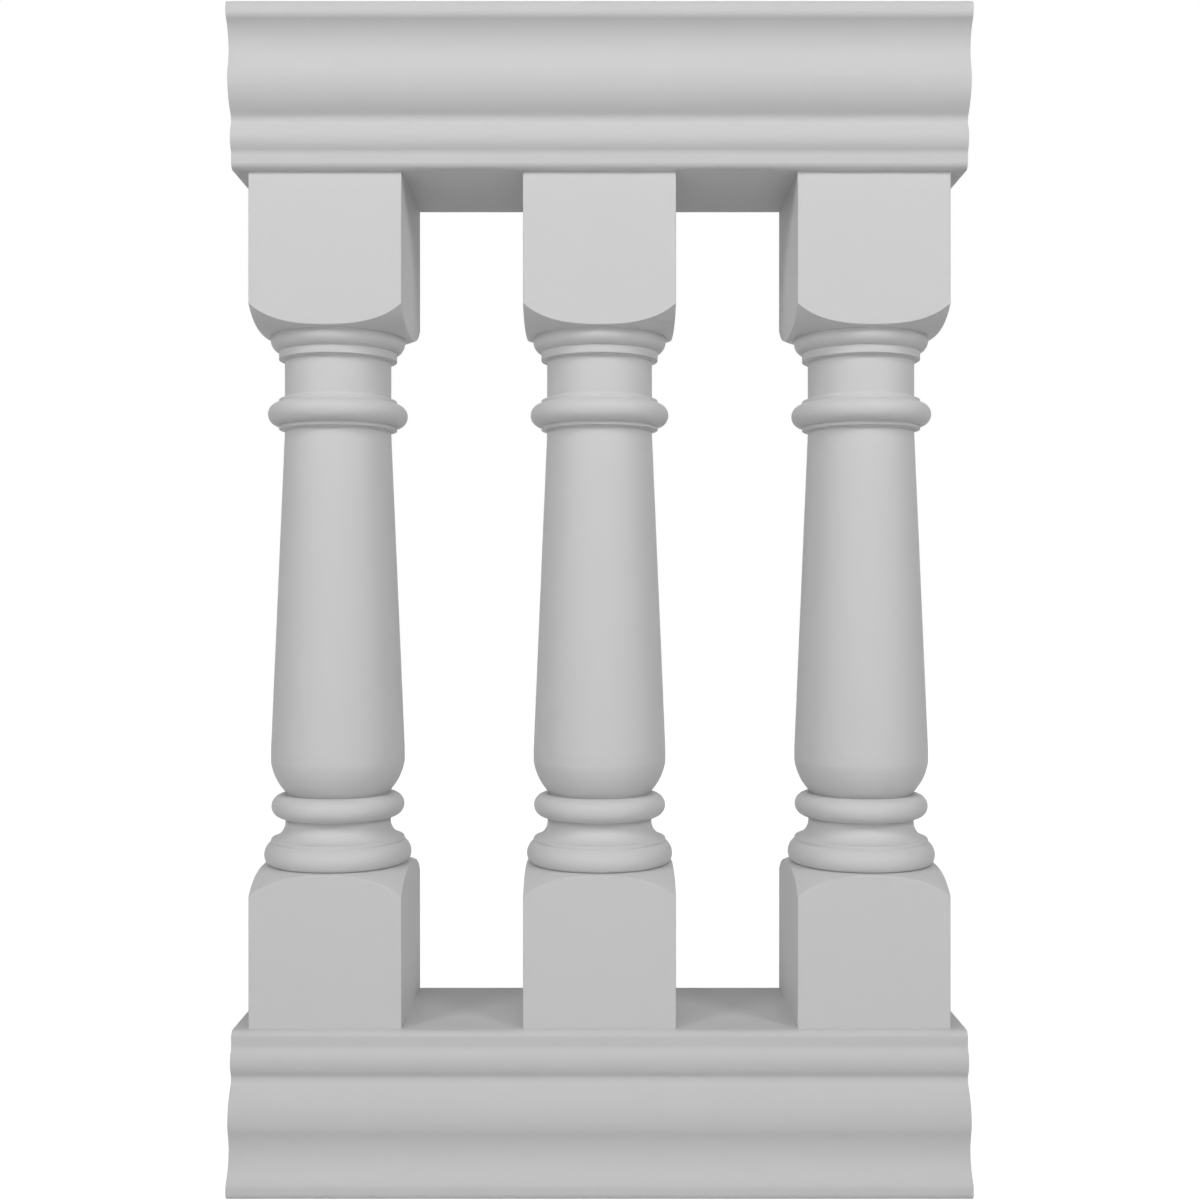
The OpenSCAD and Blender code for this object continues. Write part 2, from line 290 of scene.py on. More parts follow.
@dataclass
class Surface:
    """A closed mesh in the making: its points, its faces and the finish of each face.

    Attributes:
        points: array of (n, 3), in millimetres.
        quads: array of (m, 4) indices.
        kind: index of the finish of each quad.
        caps: rings of indices, each closed by one flat face with the first finish.
        depth: distance of each point below the outer skin, in millimetres.
    """

    points: np.ndarray
    quads: np.ndarray
    kind: np.ndarray
    caps: list[np.ndarray] = field(default_factory=list)
    depth: np.ndarray | None = None

    @staticmethod
    def from_grid(grid: np.ndarray, loop_rows: bool, kind: np.ndarray | None = None) -> "Surface":
        """Joins a grid of points whose columns close on themselves.

        Point (i, j) has the index i times the columns plus j, and a quad joins (i, j), (i, j + 1),
        (i + 1, j + 1) and (i + 1, j), counted round the grid.

        Args:
            grid: array of (rows, columns, 3).
            loop_rows: whether the last row joins the first. If not, both are closed by caps.
            kind: finish of each row of quads.

        Returns:
            The surface.
        """
        rows, columns = grid.shape[:2]
        last = rows if loop_rows else rows - 1
        i, j = np.meshgrid(np.arange(last), np.arange(columns), indexing="ij")
        i1, j1 = (i + 1) % rows, (j + 1) % columns
        quads = np.stack((i * columns + j, i * columns + j1, i1 * columns + j1, i1 * columns + j), axis=-1)
        of_row = np.zeros(last, int) if kind is None else kind
        ends = [] if loop_rows else [np.arange(columns)[::-1], np.arange(columns) + (rows - 1) * columns]
        return Surface(grid.reshape(-1, 3), quads.reshape(-1, 4), np.repeat(of_row, columns), ends)

    @staticmethod
    def turned(angles: np.ndarray, radius: np.ndarray, level: np.ndarray, loop_rows: bool) -> "Surface":
        """A surface round the Z axis, where each point is the radius along (cos a, sin a) at its level.

        Args:
            angles: directions round the axis, in radians.
            radius: radius of each row in every direction.
            level: level of each row, or of each of its points.
            loop_rows: whether the last row joins the first.

        Returns:
            The surface.
        """
        level = level + np.zeros_like(radius)
        grid = np.stack((radius * np.cos(angles), radius * np.sin(angles), level), axis=-1)
        return Surface.from_grid(grid, loop_rows)

    def volume(self) -> float:
        """Volume by the divergence rule, negative where the faces point inwards.

        Each face is a fan of triangles, and each triangle adds a sixth of its corners' triple product.

        Returns:
            The signed volume, in cubic millimetres.
        """
        a, b, c, d = (self.points[self.quads[:, k]] for k in range(4))
        total = np.einsum("ij,ij->", a, np.cross(b, c)) + np.einsum("ij,ij->", a, np.cross(c, d))
        for ring in self.caps:
            hub, first, second = self.points[ring[0]], self.points[ring[1:-1]], self.points[ring[2:]]
            total += np.einsum("j,ij->", hub, np.cross(first, second))
        return float(total / 6)

    def moved(self, offset: tuple[float, float, float], turned_over: bool = False) -> "Surface":
        """A copy that is moved, and first turned over about X where asked.

        Args:
            offset: distance along X, Y and Z.
            turned_over: whether Y and Z change sign before the move.

        Returns:
            The copy.
        """
        points = self.points * (1, -1, -1) if turned_over else self.points
        return Surface(points + np.array(offset), self.quads, self.kind, self.caps, self.depth)

    def build(
        self, name: str, finishes: list[bpy.types.Material], crisp: float = CREASE_ANGLE
    ) -> bpy.types.Object:
        """Makes the mesh object, with its faces pointing outwards.

        Args:
            name: name of the piece.
            finishes: materials, in the order of the kinds.
            crisp: turn in degrees above which an edge is left sharp.

        Returns:
            The object, at the origin.
        """
        flip = self.volume() < 0
        quads = self.quads[:, ::-1] if flip else self.quads
        caps = [ring[::-1] if flip else ring for ring in self.caps]
        loops = np.concatenate([quads.ravel(), *caps]).astype(np.int32)
        sizes = np.concatenate((np.full(len(quads), 4), [len(ring) for ring in caps])).astype(np.int32)
        starts = np.concatenate(([0], np.cumsum(sizes)[:-1])).astype(np.int32)
        mesh = bpy.data.meshes.new(name)
        mesh.vertices.add(len(self.points))
        mesh.vertices.foreach_set("co", (self.points * MM_TO_M).astype(np.float32).ravel())
        mesh.loops.add(len(loops))
        mesh.loops.foreach_set("vertex_index", loops)
        mesh.polygons.add(len(sizes))
        mesh.polygons.foreach_set("loop_start", starts)
        mesh.update(calc_edges=True)
        for finish in finishes:
            mesh.materials.append(finish)
        kinds = np.concatenate((self.kind, np.zeros(len(caps), int))).astype(np.int32)
        mesh.polygons.foreach_set("material_index", kinds)
        if self.depth is not None:
            attribute = mesh.attributes.new(DEPTH_ATTRIBUTE, "FLOAT", "POINT")
            attribute.data.foreach_set("value", self.depth.astype(np.float32))
        mesh.shade_smooth()
        mesh.set_sharp_from_angle(angle=math.radians(crisp))
        mesh.validate()
        piece = bpy.data.objects.new(name, mesh)
        bpy.context.scene.collection.objects.link(piece)
        return piece


def install(piece: bpy.types.Object, slot: Slot, *nodes: str) -> None:
    """Puts a finished piece on the frame in place of the CAD nodes that it stands for.

    Args:
        piece: the finished object.
        slot: material slot that it would take its finish from; not used.
        nodes: CAD nodes that it replaces.
    """
    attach(piece, BODY)
    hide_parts(*nodes)
    triangles = sum(len(face.vertices) - 2 for face in piece.data.polygons)
    LOG.info("%s: %d triangles, stands for %s", piece.name, triangles, ", ".join(nodes))


# ---------------------------------------------------------------- finishes


def colour(code: str) -> tuple[float, float, float, float]:
    """Linear colour of an sRGB hex code.

    Args:
        code: six hex digits after a #.

    Returns:
        Red, green and blue in linear light, and an alpha of 1.
    """
    parts = [int(code[i : i + 2], 16) / 255 for i in (1, 3, 5)]
    linear = [p / 12.92 if p <= 0.04045 else ((p + 0.055) / 1.055) ** 2.4 for p in parts]
    return linear[0], linear[1], linear[2], 1.0


def add_node(
    tree: bpy.types.NodeTree, kind: str, inputs: dict[int | str, object] | None = None, **settings: object
) -> bpy.types.Node:
    """Adds a node, gives it its settings, and fills its inputs with values or links.

    Args:
        tree: node tree that takes the node.
        kind: Blender's name for the kind of node, after ShaderNode.
        inputs: for each input socket a value, or what is linked to it: an output socket, or a node for
            its first output in use.
        settings: properties of the node itself.

    Returns:
        The node.
    """
    node = tree.nodes.new(f"ShaderNode{kind}")
    for name, value in settings.items():
        setattr(node, name, value)
    for key, value in (inputs or {}).items():
        if isinstance(value, bpy.types.Node):
            value = next(output for output in value.outputs if output.enabled)
        if isinstance(value, bpy.types.NodeSocket):
            tree.links.new(value, node.inputs[key])
        else:
            node.inputs[key].default_value = value
    return node


def new_material(name: str) -> tuple[bpy.types.Material, bpy.types.NodeTree, bpy.types.NodeSocket]:
    """Makes a node material that holds only its coordinates.

    Args:
        name: name of the material.

    Returns:
        The material, its tree, and the socket with the Object coordinates that its patterns read.
    """
    material = bpy.data.materials.new(name)
    material.use_nodes = True
    tree = material.node_tree
    tree.nodes.clear()
    return material, tree, add_node(tree, "TexCoord").outputs["Object"]


def per_metre(size_mm: float) -> float:
    """Scale of a texture whose features are this many millimetres across, on coordinates in metres."""
    return M_TO_MM / size_mm


@dataclass(frozen=True)
class MattGelcoat:
    """Pale grey polyester gelcoat, sprayed into a polished mould and flatted.

    The eye sees an even, slightly chalky skin with a soft sheen at a low angle. Close to, there is the
    faint orange peel of the spray and a drift of tone too weak to name a colour.

    Attributes:
        name: name of the material.
        tint: main colour.
        shade: colour of the drift.
        roughness: roughness of the flatted skin.
        ior: refractive index of the polyester.
        peel_mm: width of a cell of the orange peel.
        peel_depth_mm: its depth.
        drift_mm: width of a patch of the drift.
    """

    name: str = "baluster_gelcoat"
    tint: str = "#CFCFCF"
    shade: str = "#CDCDCD"
    roughness: float = 0.6
    ior: float = 1.5
    peel_mm: float = 2.6
    peel_depth_mm: float = 0.006
    drift_mm: float = 160.0

    def material(self) -> bpy.types.Material:
        """Builds the material.

        Returns:
            The material.
        """
        material, tree, place = new_material(self.name)
        patches = {"Vector": place, "Scale": per_metre(self.drift_mm), "Detail": 3.0}
        drift = add_node(tree, "TexNoise", patches)
        spray = {"Vector": place, "Scale": per_metre(self.peel_mm), "Detail": 1.0, "Roughness": 0.4}
        peel = add_node(tree, "TexNoise", spray)
        tones = {MIX_FACTOR: drift, MIX_A: colour(self.tint), MIX_B: colour(self.shade)}
        tone = add_node(tree, "Mix", tones, data_type="RGBA")
        skin = add_node(tree, "Bump", {"Height": peel, "Distance": self.peel_depth_mm * MM_TO_M})
        looks = {"Base Color": tone, "Roughness": self.roughness, "IOR": self.ior, "Normal": skin}
        shader = add_node(tree, "BsdfPrincipled", looks)
        add_node(tree, "OutputMaterial", {"Surface": shader})
        return material


# The rails are moulded apart from the balusters; their copy of the same gelcoat is darker only as painted
# shade
SHADE_DARKENED_GELCOAT = MattGelcoat("painted_shade_rail_finish", "#C8C8C8", "#C6C6C6")


@dataclass(frozen=True)
class RawLaminate:
    """Inner face of a hand-laid polyester and chopped-strand-mat laminate, left as it was rolled.

    The eye sees a dull straw-grey skin with pale strands lying every way and a glossy, uneven resin film.

    Attributes:
        resin: colour of the resin.
        strand: colour of the strands.
        strand_mm: width of a strand.
        strand_length_mm: its length.
        laid: turns about X and Z that lay the strands three ways, in degrees.
        shows: noise at which a strand begins to show and is in full view.
        film_mm: width of a patch of the uneven film.
        film_roughness: roughness of the film where it is thin and thick.
        relief_mm: height of the strands and the film.
        ior: refractive index of the resin.
    """

    resin: str = "#A5A391"
    strand: str = "#C6C5B8"
    strand_mm: float = 1.2
    strand_length_mm: float = 30.0
    laid: tuple[float, ...] = (12.0, 71.0, 133.0)
    shows: tuple[float, float] = (0.55, 0.75)
    film_mm: float = 14.0
    film_roughness: tuple[float, float] = (0.28, 0.6)
    relief_mm: float = 0.25
    ior: float = 1.53

    def material(self) -> bpy.types.Material:
        """Builds the material: strands are noise drawn out along three directions in turn.

        Returns:
            The material.
        """
        material, tree, place = new_material("raw_laminate")
        across = per_metre(self.strand_mm)
        drawn_out = (per_metre(self.strand_length_mm), across, across)
        strands: bpy.types.Node | None = None
        for turn in np.radians(self.laid):
            mapping = {"Vector": place, "Rotation": (turn, 0.0, turn), "Scale": drawn_out}
            way = add_node(tree, "Mapping", mapping)
            noise = add_node(tree, "TexNoise", {"Vector": way, "Scale": 1.0, "Detail": 2.0})
            if strands is not None:
                noise = add_node(tree, "Math", {0: strands, 1: noise}, operation="MAXIMUM")
            strands = noise
        low, high = self.shows
        clear = add_node(tree, "MapRange", {"Value": strands, "From Min": low, "From Max": high})
        film = add_node(tree, "TexNoise", {"Vector": place, "Scale": per_metre(self.film_mm)})
        tones = {MIX_FACTOR: clear, MIX_A: colour(self.resin), MIX_B: colour(self.strand)}
        tone = add_node(tree, "Mix", tones, data_type="RGBA")
        height = add_node(tree, "Math", {0: film, 1: clear}, operation="ADD")
        skin = add_node(tree, "Bump", {"Height": height, "Distance": self.relief_mm * MM_TO_M})
        smooth, rough = self.film_roughness
        gloss = add_node(tree, "MapRange", {"Value": film, "To Min": smooth, "To Max": rough})
        looks = {"Base Color": tone, "Roughness": gloss, "IOR": self.ior, "Normal": skin}
        shader = add_node(tree, "BsdfPrincipled", looks)
        add_node(tree, "OutputMaterial", {"Surface": shader})
        return material


@dataclass(frozen=True)
class SawnLaminate:
    """Edge of the laminate where a saw has cut it across.

    The eye sees the pale gelcoat as a fine line along the outside, then the layers of mat as dull bands
    with bright ends of strands in them.

    Attributes:
        gelcoat: colour of the gelcoat line.
        resin: colour of the resin between the layers.
        glass: colour of the cut strands.
        gelcoat_mm: thickness of the gelcoat.
        blend_mm: width over which it passes into the laminate.
        ply_mm: thickness of a layer of mat.
        strand_mm: width of a cut strand.
        glass_from: sine of the layers above which the strands begin to show.
        glass_most: share of their colour where they show most.
        relief_mm: height of the cut strands.
        roughness: roughness of the sawn face.
        ior: refractive index of the resin.
    """

    gelcoat: str = "#CFCFCE"
    resin: str = "#A19F8C"
    glass: str = "#CCCBC0"
    gelcoat_mm: float = 0.6
    blend_mm: float = 0.1
    ply_mm: float = 1.1
    strand_mm: float = 0.7
    glass_from: float = -0.4
    glass_most: float = 0.8
    relief_mm: float = 0.08
    roughness: float = 0.7
    ior: float = 1.53

    def material(self) -> bpy.types.Material:
        """Builds the material from the depth below the skin, which the mesh carries.

        Returns:
            The material.
        """
        material, tree, place = new_material("sawn_laminate")
        depth = add_node(tree, "Attribute", attribute_name=DEPTH_ATTRIBUTE).outputs["Fac"]
        strands = {"Vector": place, "Scale": per_metre(self.strand_mm), "Detail": 2.0}
        ends = add_node(tree, "TexNoise", strands)
        waver = add_node(tree, "Math", {0: ends, 1: depth}, operation="ADD")
        layer = add_node(tree, "Math", {0: waver, 1: 2 * math.pi / self.ply_mm}, operation="MULTIPLY")
        band = add_node(tree, "Math", {0: layer}, operation="SINE")
        shows = {"Value": band, "From Min": self.glass_from, "From Max": 1.0, "To Max": self.glass_most}
        glass = add_node(tree, "MapRange", shows)
        layers = {MIX_FACTOR: glass, MIX_A: colour(self.resin), MIX_B: colour(self.glass)}
        inner = add_node(tree, "Mix", layers, data_type="RGBA")
        start, end = self.gelcoat_mm - self.blend_mm / 2, self.gelcoat_mm + self.blend_mm / 2
        below = add_node(tree, "MapRange", {"Value": depth, "From Min": start, "From Max": end})
        tones = {MIX_FACTOR: below, MIX_A: colour(self.gelcoat), MIX_B: inner}
        tone = add_node(tree, "Mix", tones, data_type="RGBA")
        skin = add_node(tree, "Bump", {"Height": ends, "Distance": self.relief_mm * MM_TO_M})
        looks = {"Base Color": tone, "Roughness": self.roughness, "IOR": self.ior, "Normal": skin}
        shader = add_node(tree, "BsdfPrincipled", looks)
        add_node(tree, "OutputMaterial", {"Surface": shader})
        return material


@dataclass(frozen=True)
class ZincPlate:
    """Bright electroplated zinc on steel.

    The eye sees a cool grey metal, half matt, with cloudy patches where the plate lies thicker.

    Attributes:
        bright: colour of the thin plate.
        dull: colour of the thick plate.
        cloud_mm: width of a cloud.
        cloud_roughness: roughness where the plate is thin and thick.
        grain_mm: width of a grain of the plate.
        grain_depth_mm: its depth.
    """

    bright: str = "#CDD0D3"
    dull: str = "#B4B7BA"
    cloud_mm: float = 9.0
    cloud_roughness: tuple[float, float] = (0.26, 0.48)
    grain_mm: float = 0.5
    grain_depth_mm: float = 0.01

    def material(self) -> bpy.types.Material:
        """Builds the material.

        Returns:
            The material.
        """
        material, tree, place = new_material("zinc_plate")
        clouds = {"Vector": place, "Scale": per_metre(self.cloud_mm), "Detail": 4.0}
        cloud = add_node(tree, "TexNoise", clouds)
        grain = add_node(tree, "TexNoise", {"Vector": place, "Scale": per_metre(self.grain_mm)})
        tones = {MIX_FACTOR: cloud, MIX_A: colour(self.bright), MIX_B: colour(self.dull)}
        tone = add_node(tree, "Mix", tones, data_type="RGBA")
        smooth, rough = self.cloud_roughness
        gloss = add_node(tree, "MapRange", {"Value": cloud, "To Min": smooth, "To Max": rough})
        skin = add_node(tree, "Bump", {"Height": grain, "Distance": self.grain_depth_mm * MM_TO_M})
        looks = {"Base Color": tone, "Metallic": 1.0, "Roughness": gloss, "Normal": skin}
        shader = add_node(tree, "BsdfPrincipled", looks)
        add_node(tree, "OutputMaterial", {"Surface": shader})
        return material


# ---------------------------------------------------------------- rails


@dataclass
class MouldedRail:
    """A hollow rail, moulded as a channel and closed on its narrow side by a bonded panel.

    The section is drawn with y across the rail and level 0 at the narrow face. Widths and rises are the
    same as the frame's.

    Attributes:
        half_width: half the width of the fillet next to the narrow face.
        half_length: half the length of the rail.
        height: height of the section.
        seat_round: rounding along the narrow face.
        fillet: height of the plain fillet.
        bead: height of the bead.
        bead_out: how far the bead stands out from the fillet.
        bulge_rise: height from the groove to the fullest line of the bulge.
        bulge_out: how far the bulge stands out from the fillet.
        cove_rise: height from there to the deepest line of the cove.
        cove_depth: how far the cove is cut back from the bulge.
        lip_rise: height from there to the lip's upright face.
        lip_out: how far the lip stands out from the fillet.
        lip_round: rounding along the wide face.
        wall: thickness of the laminate.
        panel: thickness of the bonded panel.
        arris: rounding of the sawn edges.
        resin_narrow: rounding by resin inside, next to the narrow face.
        resin_wide: the same, next to the wide face.
    """

    half_width: float
    half_length: float
    height: float
    seat_round: float = 6.0
    fillet: float = 11.5
    bead: float = 27.7
    bead_out: float = 4.1
    bulge_rise: float = 32.7
    bulge_out: float = 12.5
    cove_rise: float = 23.7
    cove_depth: float = 4.4
    lip_rise: float = 27.3
    lip_out: float = 18.6
    lip_round: float = 5.8
    wall: float = 6.0
    panel: float = 6.0
    arris: float = 0.35
    resin_narrow: float = 2.5
    resin_wide: float = 3.5

    @staticmethod
    def from_frame(rail: str, baluster: str, margin: float = 6.7) -> "MouldedRail":
        """Sizes a rail from its CAD nodes.

        Args:
            rail: CAD node of the rail's channel.
            baluster: CAD node of a baluster.
            margin: how far the rail's narrow face reaches past the face of the baluster's block.

        Returns:
            The rail.
        """
        low, high = box_mm(rail)
        post_low, post_high = box_mm(baluster)
        half_width = (post_high[1] - post_low[1]) / 2 + margin
        return MouldedRail(half_width, (high[0] - low[0]) / 2, high[2] - low[2])

    def moulding(self, inset: float, count: int = 10) -> np.ndarray:
        """Right half of the section from the fillet to the lip: five ogees end to end.

        Args:
            inset: distance that the outline is moved into the body.
            count: steps along each arc.

        Returns:
            Array of (n, 2).
        """
        x, groove = self.half_width, self.fillet + self.bead
        bulge_x, bulge = x + self.bulge_out, groove + self.bulge_rise
        cove_x, cove = bulge_x - self.cove_depth, bulge + self.cove_rise
        bead = (x + self.bead_out, self.fillet + self.bead / 2)
        lip = (x + self.lip_out, cove + self.lip_rise)
        stations = [(x, self.fillet), bead, (x, groove), (bulge_x, bulge), (cove_x, cove), lip]
        # The share of each ogee's height that its lower arc takes
        shares = [0.35, 0.75, 0.19, 0.4, 0.82]
        ogees = [ogee(*span, inset, count) for span in zip(stations, stations[1:], shares)]
        return np.concatenate(ogees)

    def outline(self, inner: bool) -> np.ndarray:
        """Closed outline of the section, with the same number of points outside and inside.

        The right half runs from the middle of the narrow face to the middle of the wide face, and the left
        half is its mirror image in reverse order.

        Args:
            inner: whether it is the outline of the hollow. Its corners are rounded by resin.

        Returns:
            Array of (n, 2), level 0 at the narrow face.
        """
        wall = self.wall if inner else 0.0
        low, high = self.panel if inner else 0.0, self.height - wall
        narrow, wide = self.seat_round, self.lip_round
        if inner:
            narrow, wide = self.resin_narrow, self.resin_wide
        narrow_x, wide_x = self.half_width - wall - narrow, self.half_width + self.lip_out - wall - wide
        hem = 0.8
        right = np.concatenate([
            line((0.0, low), (narrow_x, low), 6, hem)[:-1],
            arc((narrow_x, low + narrow), narrow, -90, 0, 12),
            self.moulding(wall),
            arc((wide_x, high - wide), wide, 0, 90, 12),
            line((wide_x, high), (0.0, high), 8, hem)[1:],
        ])
        left = right[-2:0:-1] * (-1, 1)
        return np.concatenate((right, left))

    def surface(self) -> Surface:
        """Outside, both sawn ends and inside as one closed sheet.

        The outline is carried along X, first outside from left to right, then inwards across the right
        end, back inside, and outwards across the left end. Each sawn edge is eased by the arris.

        Returns:
            The surface, with its narrow face at level 0 and its kinds skin, sawn and raw.
        """
        outer, hollow = self.outline(False), self.outline(True)
        into = hollow - outer
        thickness = np.linalg.norm(into, axis=1)
        unit = into / thickness[:, None]
        even = np.ones(len(outer))
        end, hem, inner_hem = self.half_length, 1.0, 2.0
        ease = np.radians([0, 22.5, 45, 67.5, 90])
        back, deep = self.arris * (1 - np.sin(ease)), self.arris * (1 - np.cos(ease))
        flat = end - self.arris - hem
        left_edge, right_edge = zip(back[::-1] - end, deep[::-1]), zip(end - back, deep)
        outside = [*left_edge, (-flat, 0.0), (0.0, 0.0), (flat, 0.0), *right_edge]
        inside = [*np.linspace(end - inner_hem, inner_hem - end, 7), -end]
        # Shares of the way in at which the sawn ends have a row
        shares = [0.12, 0.35, 0.6, 0.85, 1.0]
        # Each row: where it lies along the rail, how far its points go inwards, and their depth
        rows = [(x, unit * depth, even * depth) for x, depth in outside]
        rows += [(end, into * share, thickness * share) for share in shares]
        rows += [(x, into, thickness) for x in inside]
        rows += [(-end, into * share, thickness * share) for share in shares[-2::-1]]
        grid = np.array([np.column_stack((even * x, outer + inward)) for x, inward, _ in rows])
        kinds = np.repeat([0, 1, 2, 1], [len(outside) - 1, len(shares), len(inside), len(shares)])
        made = Surface.from_grid(grid, True, kinds)
        made.depth = np.concatenate([depth for _, _, depth in rows])
        return made


# ---------------------------------------------------------------- balusters


@dataclass
class TurnedBaluster:
    """A turned baluster with square blocks at both ends.

    A level is measured up from the baluster's foot. The outline is the frame's own turning, but for the
    fine groove above the lower block and the tighter underside of the base torus. A size that ends in
    _out is how far a piece stands out from the neck or, for the upper torus, from the waist.

    Attributes:
        width: width of the square blocks.
        height: height from rail to rail.
        block: height of a block at the middle of its face.
        corner: rounding of the blocks' upright edges.
        arris: rounding of the curved edge where a block's face ends.
        edge: rounding of the small fillets' edges.
        shoulder_r: radius of the turned shoulder.
        shoulder_slope: slope of the shoulder at the middle of a face, in degrees.
        under_r: radius of the base torus below its widest level, tighter than above.
        quirk: height and depth of the fine groove between the shoulder and the base torus.
        ovolo_r: radius of the ovolo's section.
        ovolo_drop: its centre below the middle of the upper block's lower edge.
        ovolo_out: how far it stands out.
        neck_fillet: upper block's edge to the underside of the fillet below the ovolo.
        fillet_out: how far the small fillets stand out.
        fillet_cove: radius of the coves that join them to the neck.
        neck_r: radius of the neck and of the shaft's upper end.
        neck: height of the neck, from fillet to fillet.
        ring: height of the ring with its two fillets.
        ring_torus_r: radius of its torus's section.
        ring_out: how far it stands out.
        base_torus_r: radius of the base torus's section above its widest level.
        base_r: radius of the base torus at its widest.
        base_rise: its centre above the middle of the lower block's upper edge.
        foot_r: radius of the shaft's foot and of the fillet on the base torus.
        foot_fillet: top of that fillet above the block's edge.
        scotia: height of the scotia.
        scotia_r: radius of its section.
        waist_r: radius of the waist between the scotia and the upper torus.
        waist: height of the waist.
        foot_torus_r: radius of the upper torus's section.
        foot_torus_out: how far it stands out.
        apron: height of the apron between the upper torus and the shaft's foot.
        apron_in: how far the apron draws in.
        apron_slope: its slope from upright where it joins the foot, in degrees.
        band: height of the straight foot above the apron.
    """

    width: float
    height: float
    block: float = 126.7
    corner: float = 0.9
    arris: float = 0.5
    edge: float = 0.5
    shoulder_r: float = 48.0
    shoulder_slope: float = 14.9
    under_r: float = 10.8
    quirk: float = 1.1
    ovolo_r: float = 10.7
    ovolo_drop: float = 4.3
    ovolo_out: float = 11.9
    neck_fillet: float = 20.9
    fillet_out: float = 5.0
    fillet_cove: float = 2.5
    neck_r: float = 45.7
    neck: float = 34.3
    ring: float = 26.0
    ring_torus_r: float = 9.9
    ring_out: float = 14.3
    base_torus_r: float = 13.1
    base_r: float = 63.2
    base_rise: float = 8.9
    foot_r: float = 57.4
    foot_fillet: float = 22.9
    scotia: float = 13.6
    scotia_r: float = 14.0
    waist_r: float = 45.3
    waist: float = 4.2
    foot_torus_r: float = 10.0
    foot_torus_out: float = 11.8
    apron: float = 28.0
    apron_in: float = 14.4
    apron_slope: float = 8.0
    band: float = 10.6

    @staticmethod
    def from_frame(node: str) -> "TurnedBaluster":
        """Sizes a baluster from its CAD node."""
        low, high = box_mm(node)
        return TurnedBaluster(high[0] - low[0], high[2] - low[2])

    def shoulder_centre(self) -> Point:
        """Centre of the shoulder's arc, which crosses the middle of a face at the height of the block."""
        slope, r = math.radians(self.shoulder_slope), self.shoulder_r
        return self.width / 2 - r * math.sin(slope), self.block - r * math.cos(slope)

    def base_centre(self) -> Point:
        """Centre of the base torus's section."""
        return self.base_r - self.base_torus_r, self.block + self.base_rise

    def under_centre(self) -> Point:
        """Centre of the arc under the base torus, which has the same widest level as the torus."""
        return self.base_r - self.under_r, self.base_centre()[1]

    def shoulder_point(self, radius: float) -> tuple[float, float]:
        """The place on the shoulder's arc that lies this far from the axis.

        Args:
            radius: distance from the axis.

        Returns:
            Its angle on the arc, in degrees, and its level.
        """
        x, z = self.shoulder_centre()
        angle = math.acos((radius - x) / self.shoulder_r)
        return math.degrees(angle), z + self.shoulder_r * math.sin(angle)

    def quirk_r(self) -> float:
        """Radius of the groove's back: its depth in from where the torus would meet the shoulder."""
        shoulder, under = self.shoulder_centre(), self.under_centre()
        return crossing(shoulder, self.shoulder_r, under, self.under_r)[0] - self.quirk

    def shoulder_ends(self) -> tuple[float, float]:
        """Angles at which the shoulder ends: at the groove's back at the foot, on the ovolo at the top."""
        return self.shoulder_point(self.quirk_r())[0], self.shoulder_point(self.neck_r + self.ovolo_out)[0]

    def fillet_side(self, level: float, way: int) -> np.ndarray:
        """Outline of one side of a small fillet: the cove that joins it to the neck, and its rounded edge.

        Args:
            level: level of that side.
            way: 1 for an underside, which runs outward, and -1 for a top, which runs inward.

        Returns:
            Array of (n, 2): radius and level.
        """
        cove = (self.neck_r + self.fillet_cove, level - way * self.fillet_cove)
        edge = (self.neck_r + self.fillet_out - self.edge, level + way * self.edge)
        into_cove = arc(cove, self.fillet_cove, 180, 180 - way * 90, 7)
        return np.concatenate((into_cove, arc(edge, self.edge, -way * 90, 0, 3)))[::way]

    def foot_outline(self) -> np.ndarray:
        """Outline from the lower block's shoulder to the top of the shaft's foot.

        It is the fine groove, the base torus, its fillet, the scotia, the waist, the upper torus, the apron
        and the foot. Where two of them cross, the outline changes from one to the other at the crossing.

        Returns:
            Array of (n, 2): radius and level.
        """
        base, under, quirk_r = self.base_centre(), self.under_centre(), self.quirk_r()
        foot_r, waist_r, torus_r = self.foot_r, self.waist_r, self.foot_torus_r
        groove_top = self.shoulder_point(quirk_r)[1] + self.quirk
        start = math.asin((groove_top - under[1]) / self.under_r)
        end = math.acos((foot_r - base[0]) / self.base_torus_r)
        base_top = base[1] + self.base_torus_r * math.sin(end)
        fillet_top = self.block + self.foot_fillet
        reach = math.asin(self.scotia / self.scotia_r)
        lip = foot_r - waist_r - self.scotia_r * (1 - math.cos(reach))
        waist = fillet_top + self.scotia
        torus = (waist_r + self.foot_torus_out - torus_r, waist + self.waist + torus_r)
        meets_waist = math.acos((waist_r - torus[0]) / torus_r)
        meets_apron = math.acos((foot_r - self.apron_in - torus[0]) / torus_r)
        foot = torus[1] + torus_r + self.apron
        slope = math.radians(self.apron_slope)
        turn = 2 * math.atan(self.apron_in / self.apron) - slope
        apron_r = self.apron / (math.sin(turn) - math.sin(slope))
        centre = (foot_r - apron_r * math.cos(slope), foot + apron_r * math.sin(slope))
        hem = 0.4
